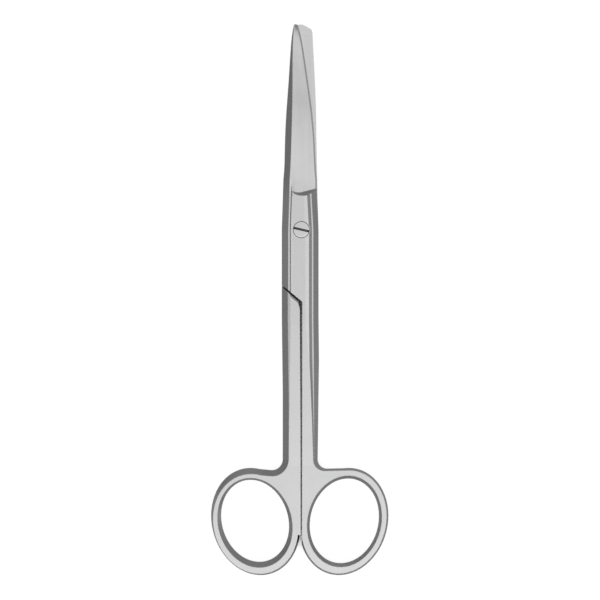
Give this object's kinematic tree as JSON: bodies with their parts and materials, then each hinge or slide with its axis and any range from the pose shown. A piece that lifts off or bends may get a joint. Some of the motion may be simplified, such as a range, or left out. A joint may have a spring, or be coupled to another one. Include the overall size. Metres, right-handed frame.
{
  "type": "operating scissors",
  "caption": "Straight operating scissors with one sharp and one blunt tip, oval finger rings and a slotted pivot screw.",
  "frame": {"origin": "where the pivot axis meets the surface that the closed scissors lie on", "axes": "+Y towards the tips, +Z along the pivot axis towards the screw head, +X to the right as seen from the screw head"},
  "size_m": [0.0597, 0.1857, 0.005],
  "materials": {
    "satin_steel": "satin ground stainless steel, grain along the shanks",
    "screw_steel": "turned stainless steel, head filed flush"
  },
  "bodies": {
    "blunt_side": {"blunt_half": "satin_steel", "pivot_screw": "screw_steel"},
    "sharp_side": {"sharp_half": "satin_steel"}
  },
  "joints": [
    {"name": "blade_pivot", "type": "hinge", "parent": "blunt_side", "child": "sharp_side", "pos_m": [0, 0, 0], "axis": [0, 0, 1], "range_deg": [0, 142]}
  ]
}
